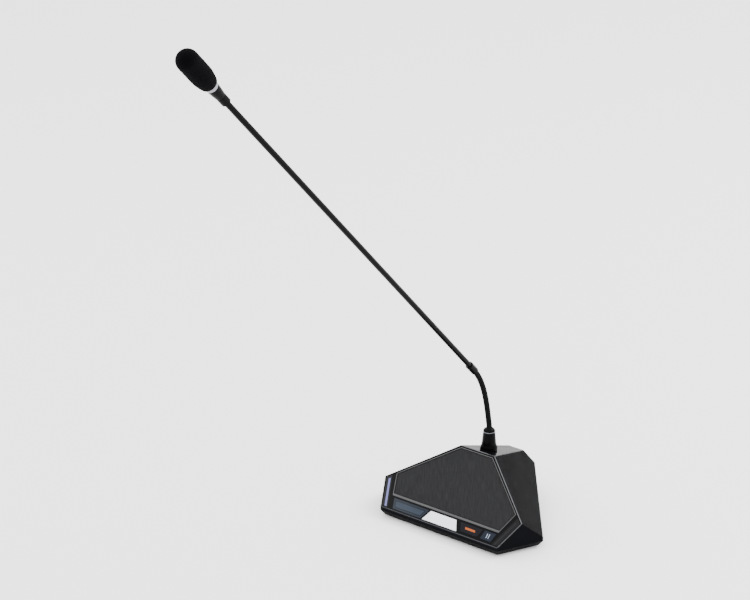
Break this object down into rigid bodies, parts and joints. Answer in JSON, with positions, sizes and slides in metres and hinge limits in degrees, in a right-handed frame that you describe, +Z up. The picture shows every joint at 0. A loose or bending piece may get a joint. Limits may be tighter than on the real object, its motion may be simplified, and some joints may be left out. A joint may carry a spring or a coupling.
{
  "type": "gooseneck podium microphone",
  "caption": "Faceted black desk station with a sloping loudspeaker front, keys and light bars, and a long plug-in gooseneck microphone with a foam windscreen.",
  "frame": {"origin": "on the table, on the underside of the rubber sole, under the middle of the station", "axes": "+Z up, -Y towards the person who speaks, +X across the station to the right seen from the front"},
  "size_m": [0.2072, 0.5374, 0.6347],
  "materials": {
    "housing_black": "satin injection-moulded black plastic with fine texture",
    "tray_black": "matt moulded black plastic",
    "frame_black": "gloss black moulding",
    "bezel_grey": "satin grey paint",
    "grille_cloth": "woven charcoal acoustic cloth",
    "key_silver": "silver-white lacquer",
    "key_black": "gloss black key cap",
    "key_blue_grey": "smoked blue-grey key cap",
    "lamp_orange": "lit amber bar",
    "mark_white": "pale printed bars",
    "lens_smoked": "smoked acrylic",
    "guide_lit": "frosted light guide, lit",
    "guide_dark": "frosted light guide, unlit",
    "window_smoked": "smoked blue-grey window",
    "display_dark": "display glass, blank",
    "rubber_black": "black non-slip rubber",
    "steel_zinc": "zinc-plated steel",
    "ballast_steel": "painted steel plate",
    "board_green": "printed circuit board",
    "switch_black": "moulded switch body",
    "plunger_ivory": "ivory switch plunger",
    "led_white": "light-emitting diode package",
    "felt_black": "foam gasket",
    "basket_steel": "black pressed steel",
    "cone_paper": "pressed paper cone",
    "magnet_ferrite": "ferrite magnet and plated yoke",
    "socket_black": "black nylon",
    "contact_gold": "gold-plated contacts",
    "plug_black": "satin black plated brass",
    "ring_chrome": "polished chrome",
    "neck_black": "matt black flexible neck",
    "stem_black": "gloss black lacquered tube",
    "cable_grey": "cable jacket",
    "head_black": "gloss black lacquered housing",
    "lamp_ring_white": "frosted white lamp ring",
    "capsule_metal": "blackened capsule nose",
    "foam_black": "open-cell black foam"
  },
  "bodies": {
    "station": {"upper_housing": "housing_black", "base_tray": "tray_black", "rubber_sole": "rubber_black", "housing_screws": "steel_zinc", "ballast_plate": "ballast_steel", "main_board": "board_green", "board_screws": "steel_zinc", "front_frame": "frame_black", "grille_backer": "frame_black", "grille_bezel": "bezel_grey", "speaker_grille": "grille_cloth", "speaker_gasket": "felt_black", "speaker_basket": "basket_steel", "speaker_cone": "cone_paper", "speaker_surround": "rubber_black", "speaker_magnet": "magnet_ferrite", "speaker_screws": "steel_zinc", "switch_bodies": "switch_black", "control_board": "board_green", "indicator_leds": "led_white", "right_indicator_lens": "lens_smoked", "left_indicator_lens": "lens_smoked", "right_light_guide": "guide_dark", "left_light_guide": "guide_lit", "display_window": "window_smoked", "display_module": "display_dark", "left_network_socket": "socket_black", "right_network_socket": "socket_black", "network_contacts": "contact_gold", "mic_socket": "socket_black", "socket_contacts": "contact_gold"},
    "speak_key": {"speak_key": "key_silver", "speak_plunger": "plunger_ivory"},
    "priority_key": {"priority_key": "key_black", "priority_lamp": "lamp_orange", "priority_plunger": "plunger_ivory"},
    "channel_key": {"channel_key": "key_blue_grey", "channel_marks": "mark_white", "channel_plunger": "plunger_ivory"},
    "mic_plug": {"mic_plug": "plug_black", "plug_pins": "contact_gold", "collar_ring": "ring_chrome"},
    "lock_collar": {"lock_collar": "plug_black"},
    "neck_1": {"neck_link_1": "neck_black"},
    "neck_2": {"neck_link_2": "neck_black"},
    "neck_3": {"neck_link_3": "neck_black"},
    "neck_4": {"neck_link_4": "neck_black"},
    "neck_5": {"neck_link_5": "neck_black"},
    "neck_6": {"neck_link_6": "neck_black"},
    "neck_7": {"neck_link_7": "neck_black"},
    "neck_8": {"neck_link_8": "neck_black"},
    "stem": {"lower_sleeve": "head_black", "stem_tube": "stem_black", "stem_cable": "cable_grey", "upper_coupler": "head_black", "capsule_housing": "head_black", "lamp_ring": "lamp_ring_white", "capsule_basket": "capsule_metal", "capsule_cartridge": "capsule_metal"},
    "windscreen": {"foam_windscreen": "foam_black"}
  },
  "joints": [
    {"name": "speak_press", "type": "slide", "parent": "station", "child": "speak_key", "axis": [0, 0.66, -0.7513], "range_m": [0, 0.001], "stiffness_N_per_m": 1200, "springref_m": -0.001},
    {"name": "priority_press", "type": "slide", "parent": "station", "child": "priority_key", "axis": [0, 0.66, -0.7513], "range_m": [0, 0.001], "stiffness_N_per_m": 1200, "springref_m": -0.001},
    {"name": "channel_press", "type": "slide", "parent": "station", "child": "channel_key", "axis": [0, 0.66, -0.7513], "range_m": [0, 0.001], "stiffness_N_per_m": 1200, "springref_m": -0.001},
    {"name": "mic_unplug", "type": "slide", "parent": "station", "child": "mic_plug", "axis": [0, 0, 1], "range_m": [0, 0.034]},
    {"name": "collar_turn", "type": "hinge", "parent": "mic_plug", "child": "lock_collar", "pos_m": [0, 0.01735, 0.0735], "axis": [0, 0, 1], "range_deg": [0, 60]},
    {"name": "neck_bend_1", "type": "hinge", "parent": "mic_plug", "child": "neck_1", "pos_m": [0, 0.01735, 0.0978], "axis": [1, 0, 0], "range_deg": [-9, 9]},
    {"name": "neck_side_1", "type": "hinge", "parent": "neck_1", "child": "neck_2", "pos_m": [0, 0.01546, 0.10768], "axis": [0, 0.9806, 0.196], "range_deg": [-9, 9]},
    {"name": "neck_bend_2", "type": "hinge", "parent": "neck_2", "child": "neck_3", "pos_m": [0, 0.01349, 0.11755], "axis": [1, 0, 0], "range_deg": [-9, 9]},
    {"name": "neck_side_2", "type": "hinge", "parent": "neck_3", "child": "neck_4", "pos_m": [0, 0.01125, 0.12735], "axis": [0, 0.9635, 0.2676], "range_deg": [-9, 9]},
    {"name": "neck_bend_3", "type": "hinge", "parent": "neck_4", "child": "neck_5", "pos_m": [0, 0.00856, 0.13705], "axis": [1, 0, 0], "range_deg": [-9, 9]},
    {"name": "neck_side_3", "type": "hinge", "parent": "neck_5", "child": "neck_6", "pos_m": [0, 0.00524, 0.14654], "axis": [0, 0.9122, 0.4098], "range_deg": [-9, 9]},
    {"name": "neck_bend_4", "type": "hinge", "parent": "neck_6", "child": "neck_7", "pos_m": [0, 0.00111, 0.15572], "axis": [1, 0, 0], "range_deg": [-9, 9]},
    {"name": "neck_side_4", "type": "hinge", "parent": "neck_7", "child": "neck_8", "pos_m": [0, -0.00395, 0.16441], "axis": [0, 0.7944, 0.6074], "range_deg": [-9, 9]},
    {"name": "neck_bend_5", "type": "hinge", "parent": "neck_8", "child": "stem", "pos_m": [0, -0.01006, 0.1724], "axis": [1, 0, 0], "range_deg": [-9, 9]},
    {"name": "windscreen_pull", "type": "slide", "parent": "stem", "child": "windscreen", "axis": [0, -0.6982, 0.7159], "range_m": [0, 0.03]}
  ]
}
